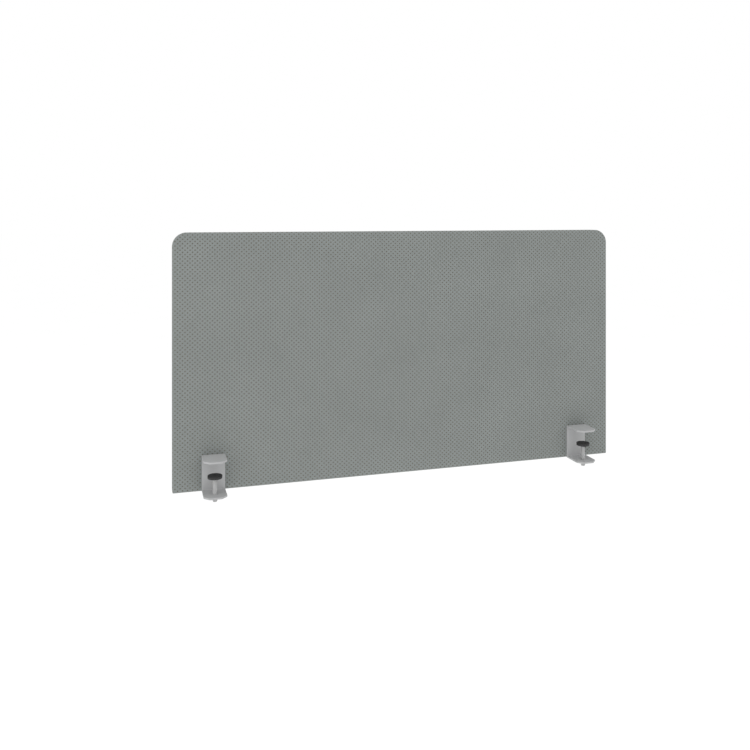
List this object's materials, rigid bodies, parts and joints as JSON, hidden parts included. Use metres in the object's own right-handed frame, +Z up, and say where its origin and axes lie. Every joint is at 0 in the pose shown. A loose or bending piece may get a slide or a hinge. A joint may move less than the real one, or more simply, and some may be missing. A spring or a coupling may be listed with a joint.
{
  "type": "desk privacy panel",
  "caption": "Fabric-covered privacy panel with rounded upper corners, held on a desk's edge by steel screw clamps that bear on the underside of the desktop.",
  "frame": {"origin": "on the desk's edge, half way between the two clamps: the front face of the clamp plates meets the edge at Y = 0, and the underside of the top jaws rests on the desktop at Z = 0", "axes": "+X along the desk's edge, to the user's right; +Y away from the desk, out through the panel; +Z up"},
  "size_m": [0.85, 0.0734, 0.4605],
  "materials": {
    "panel_fabric": "matt mid-grey knitted screen fabric with a close diamond grid of small darker pits",
    "padding": "thin needled felt padding",
    "board": "raw medium-density fibreboard",
    "spline_plastic": "soft matt grey plastic welt",
    "bracket_paint": "light grey fine-texture powder coat",
    "screw_steel": "bright zinc plate",
    "pad_plastic": "black moulded plastic, fine spark texture",
    "pad_rubber": "black rubber, matt"
  },
  "bodies": {
    "root": {"core_board": "board", "front_padding": "padding", "rear_padding": "padding", "front_cover": "panel_fabric", "rear_cover": "panel_fabric", "edge_spline": "spline_plastic", "left_bracket": "bracket_paint", "left_weld_nut": "bracket_paint", "left_upper_stud": "screw_steel", "left_upper_washer": "bracket_paint", "left_upper_sleeve_nut": "screw_steel", "left_lower_stud": "screw_steel", "left_lower_washer": "bracket_paint", "left_lower_sleeve_nut": "screw_steel", "right_bracket": "bracket_paint", "right_weld_nut": "bracket_paint", "right_upper_stud": "screw_steel", "right_upper_washer": "bracket_paint", "right_upper_sleeve_nut": "screw_steel", "right_lower_stud": "screw_steel", "right_lower_washer": "bracket_paint", "right_lower_sleeve_nut": "screw_steel"},
    "left_pad": {"left_pad_body": "pad_plastic", "left_pad_face": "pad_rubber"},
    "left_screw": {"left_clamp_screw": "screw_steel"},
    "right_pad": {"right_pad_body": "pad_plastic", "right_pad_face": "pad_rubber"},
    "right_screw": {"right_clamp_screw": "screw_steel"}
  },
  "joints": [
    {"name": "left_pad_travel", "type": "slide", "parent": "root", "child": "left_pad", "axis": [0, 0, 1], "range_m": [-0.025, 0.00625]},
    {"name": "left_screw_turn", "type": "hinge", "parent": "left_pad", "child": "left_screw", "pos_m": [-0.3555, -0.0257, -0.05], "axis": [0, 0, 1], "range_deg": [-7201, 1801]},
    {"name": "right_pad_travel", "type": "slide", "parent": "root", "child": "right_pad", "axis": [0, 0, 1], "range_m": [-0.025, 0.00625]},
    {"name": "right_screw_turn", "type": "hinge", "parent": "right_pad", "child": "right_screw", "pos_m": [0.3555, -0.0257, -0.05], "axis": [0, 0, 1], "range_deg": [-7201, 1801]}
  ],
  "couplings": [
    {"joint": "left_screw_turn", "follows": "left_pad_travel", "rad_per_m": 5026.5},
    {"joint": "right_screw_turn", "follows": "right_pad_travel", "rad_per_m": 5026.5}
  ]
}
